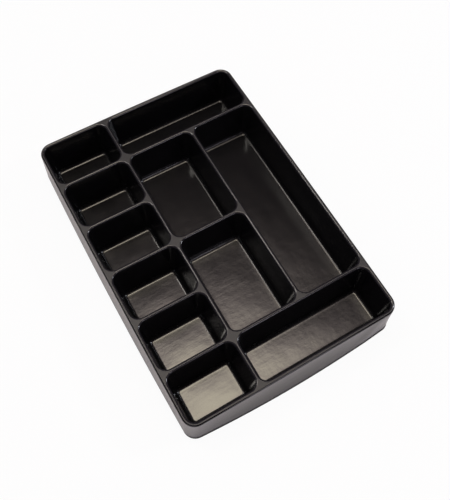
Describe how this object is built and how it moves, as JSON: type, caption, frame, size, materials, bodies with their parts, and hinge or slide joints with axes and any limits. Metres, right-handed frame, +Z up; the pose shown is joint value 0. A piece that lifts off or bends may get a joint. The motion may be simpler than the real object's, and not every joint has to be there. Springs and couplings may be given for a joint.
{
  "type": "organiser tray",
  "caption": "Rectangular thermoformed tray of thin plastic with drafted pockets of several sizes in a flat deck, rounded corners and a skirt folded down all round.",
  "frame": {"origin": "centre of the bounding box in plan, on the plane the tray stands on", "axes": "+X across the tray from the column of small pockets to the long pocket, +Y along the tray from the front wide pocket to the back one, +Z up out of the pockets"},
  "size_m": [0.2868, 0.4224, 0.056],
  "materials": {
    "sheet_plastic": "satin"
  },
  "bodies": {
    "root": {"tray": "sheet_plastic"}
  },
  "joints": []
}
